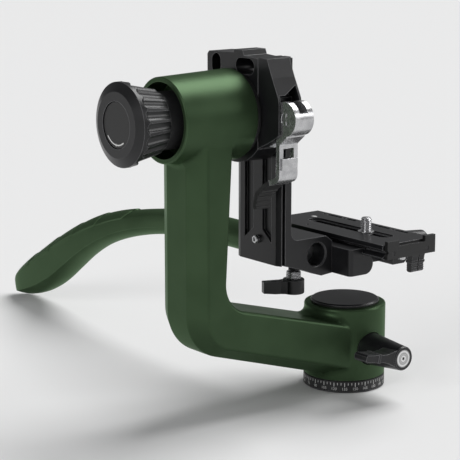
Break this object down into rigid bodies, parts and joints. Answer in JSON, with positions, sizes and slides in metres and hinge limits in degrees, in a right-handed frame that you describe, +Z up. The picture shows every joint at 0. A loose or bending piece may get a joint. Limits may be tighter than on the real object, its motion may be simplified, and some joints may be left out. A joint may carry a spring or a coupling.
{
  "type": "gimbal tripod head",
  "caption": "Gimbal tripod head: green side arm on a pan base, quick-release swing clamp, L bracket with lens plate, and a long curved steering handle.",
  "frame": {"origin": "on the pan axis, at the bottom face of the base where the tripod screw enters", "axes": "+Z up along the pan axis, +X along the tilt axis from the tilt knob towards the lens plate, +Y horizontal along the lens and the steering handle"},
  "size_m": [0.2204, 0.36, 0.2003],
  "materials": {
    "green_paint": "satin",
    "black_anodised": "satin",
    "dark_coated": "matte",
    "bright_steel": "polished",
    "zinc_steel": "satin",
    "knob_face": "satin",
    "black_plastic": "satin",
    "friction_pad": "matte"
  },
  "bodies": {
    "base": {"pan_base": "black_anodised", "pan_scale_ring": "dark_coated", "pan_shaft": "zinc_steel", "pan_flange_screws": "zinc_steel", "pan_shaft_nut": "zinc_steel", "pan_washer": "friction_pad"},
    "arm": {"gimbal_arm": "green_paint", "base_cap": "black_anodised", "pan_lower_bearing": "zinc_steel", "pan_upper_bearing": "zinc_steel", "tilt_inner_bearing": "zinc_steel", "tilt_outer_bearing": "zinc_steel", "pan_brake_pad": "friction_pad", "tilt_brake_pad": "friction_pad"},
    "pan_lock": {"pan_lock_knob": "black_anodised", "pan_lock_disc": "bright_steel", "pan_lock_stud": "zinc_steel"},
    "tilt_lock": {"tilt_knob": "black_anodised", "tilt_knob_dial": "knob_face", "tilt_knob_sleeve": "dark_coated"},
    "swing": {"tilt_shaft": "dark_coated", "tilt_shaft_nut": "zinc_steel", "clamp_flange_screws": "zinc_steel", "swing_clamp_body": "black_anodised", "jaw_guide_pins": "zinc_steel", "jaw_springs": "zinc_steel", "draw_bolt": "zinc_steel", "draw_bolt_nut": "zinc_steel"},
    "jaw": {"sliding_jaw": "black_anodised"},
    "lever": {"clamp_lever": "bright_steel", "clamp_lever_grip": "black_plastic", "clamp_lever_pin": "bright_steel"},
    "button": {"lever_safety_button": "bright_steel"},
    "bracket": {"l_bracket": "black_anodised", "rail_stop_screw": "bright_steel", "plate_clamp_body": "black_anodised", "plate_clamp_mount_screws": "zinc_steel", "plate_clamp_guide_rods": "zinc_steel"},
    "plate_jaw": {"plate_clamp_jaw": "black_anodised"},
    "plate_knob": {"plate_clamp_knob": "black_anodised", "plate_clamp_screw": "bright_steel"},
    "plate": {"lens_plate": "black_anodised", "plate_end_stop": "knob_face", "plate_stop_screws": "dark_coated", "plate_safety_pins": "bright_steel"},
    "screw_slider": {"camera_screw_collar": "bright_steel"},
    "screw": {"camera_screw": "bright_steel"},
    "handle": {"steering_handle": "green_paint", "handle_spigot": "zinc_steel"},
    "handle_lock": {"handle_lock_lever": "black_anodised", "handle_lock_stud": "bright_steel"}
  },
  "joints": [
    {"name": "pan", "type": "hinge", "parent": "base", "child": "arm", "pos_m": [0, 0, 0.02], "axis": [0, 0, 1], "continuous": true},
    {"name": "pan_lock_turn", "type": "hinge", "parent": "arm", "child": "pan_lock", "pos_m": [0, -0.04, 0.0254], "axis": [0, 1, 0], "range_deg": [0, 270]},
    {"name": "tilt_lock_turn", "type": "hinge", "parent": "arm", "child": "tilt_lock", "pos_m": [-0.145, 0, 0.1658], "axis": [1, 0, 0], "range_deg": [0, 200]},
    {"name": "tilt", "type": "hinge", "parent": "arm", "child": "swing", "pos_m": [-0.09, 0, 0.1658], "axis": [1, 0, 0], "range_deg": [-26, 95]},
    {"name": "lever_open", "type": "hinge", "parent": "swing", "child": "lever", "pos_m": [-0.0739, -0.0416, 0.1666], "axis": [-1, 0, 0], "range_deg": [0, 110]},
    {"name": "jaw_slide", "type": "slide", "parent": "swing", "child": "jaw", "axis": [0, -1, 0], "range_m": [0, 0.0012], "deforming": ["jaw_springs"]},
    {"name": "button_slide", "type": "slide", "parent": "lever", "child": "button", "axis": [0, 0, 1], "range_m": [0, 0.003], "stiffness_N_per_m": 150},
    {"name": "bracket_slide", "type": "slide", "parent": "swing", "child": "bracket", "axis": [0, 0, 1], "range_m": [-0.005, 0.04]},
    {"name": "plate_jaw_slide", "type": "slide", "parent": "bracket", "child": "plate_jaw", "axis": [1, 0, 0], "range_m": [0, 0.002]},
    {"name": "plate_knob_turn", "type": "hinge", "parent": "plate_jaw", "child": "plate_knob", "pos_m": [0.045, 0, 0.0774], "axis": [1, 0, 0], "range_deg": [0, 720]},
    {"name": "plate_slide", "type": "slide", "parent": "bracket", "child": "plate", "axis": [0, 1, 0], "range_m": [-0.024, 0.016]},
    {"name": "screw_slide", "type": "slide", "parent": "plate", "child": "screw_slider", "axis": [0, 1, 0], "range_m": [-0.014, 0.041]},
    {"name": "screw_turn", "type": "hinge", "parent": "screw_slider", "child": "screw", "pos_m": [0, -0.0172, 0.094], "axis": [0, 0, 1], "continuous": true},
    {"name": "handle_turn", "type": "hinge", "parent": "bracket", "child": "handle", "pos_m": [-0.0392, 0.02, 0.0854], "axis": [0, 1, 0], "continuous": true},
    {"name": "handle_lock_turn", "type": "hinge", "parent": "bracket", "child": "handle_lock", "pos_m": [-0.0392, 0, 0.066], "axis": [0, 0, 1], "range_deg": [0, 180]}
  ],
  "couplings": [
    {"joint": "lever_open", "follows": "jaw_slide", "rad_per_m": 1599.8},
    {"joint": "plate_knob_turn", "follows": "plate_jaw_slide", "rad_per_m": 6283}
  ]
}
